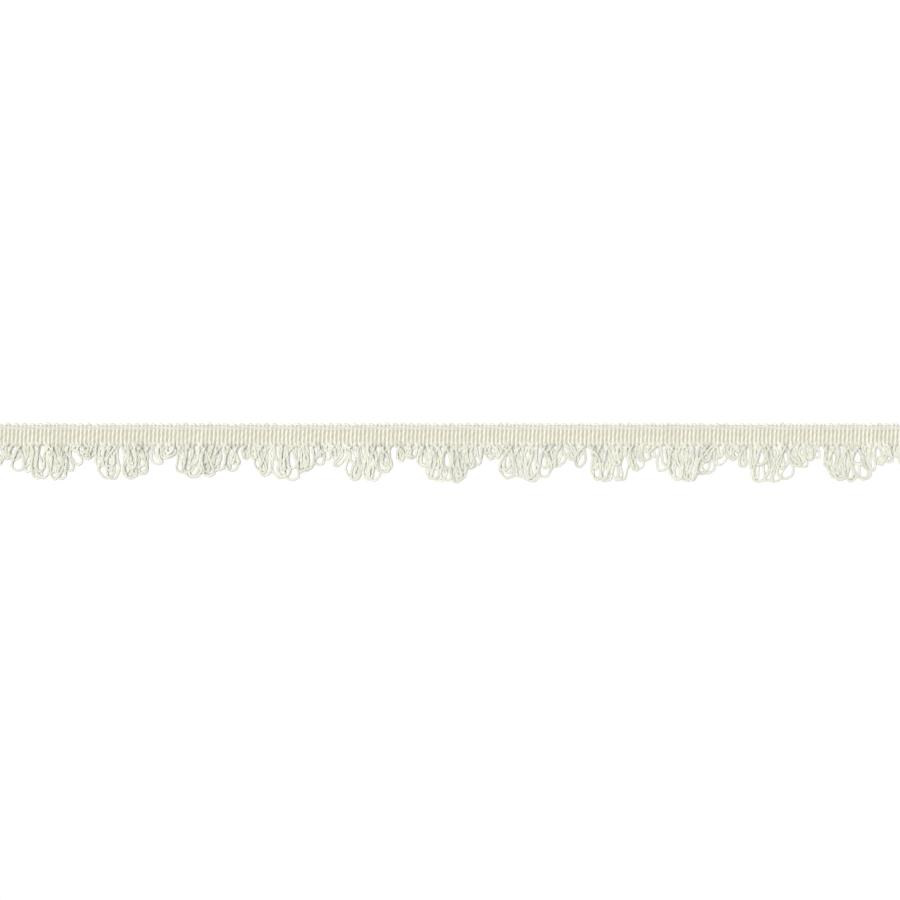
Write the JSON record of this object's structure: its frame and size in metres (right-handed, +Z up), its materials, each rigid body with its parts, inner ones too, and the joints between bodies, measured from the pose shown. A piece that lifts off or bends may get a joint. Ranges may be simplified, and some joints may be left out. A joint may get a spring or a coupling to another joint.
{
  "type": "fan edge trim",
  "caption": "Cream woven fan edge trim with a ribbed heading, a picot upper edge and yarn loops that rise and fall in scalloped fans.",
  "frame": {"origin": "on the floor under the middle of the trim, halfway along it and halfway between the picots and the lowest loops", "axes": "+X runs along the trim, +Y points to the picot edge, +Z points up from the back to the face"},
  "size_m": [0.4846, 0.0318, 0.0064],
  "materials": {
    "heading_yarn": "soft satin cream yarn woven into a ribbed band",
    "loop_yarn": "soft satin cream plied yarn in free loops"
  },
  "bodies": {
    "root": {"heading": "heading_yarn", "fan_00": "loop_yarn", "fan_01": "loop_yarn", "fan_02": "loop_yarn", "fan_03": "loop_yarn", "fan_04": "loop_yarn", "fan_05": "loop_yarn", "fan_06": "loop_yarn", "fan_07": "loop_yarn", "fan_08": "loop_yarn", "fan_09": "loop_yarn", "fan_10": "loop_yarn", "fan_11": "loop_yarn", "fan_12": "loop_yarn"}
  },
  "joints": []
}
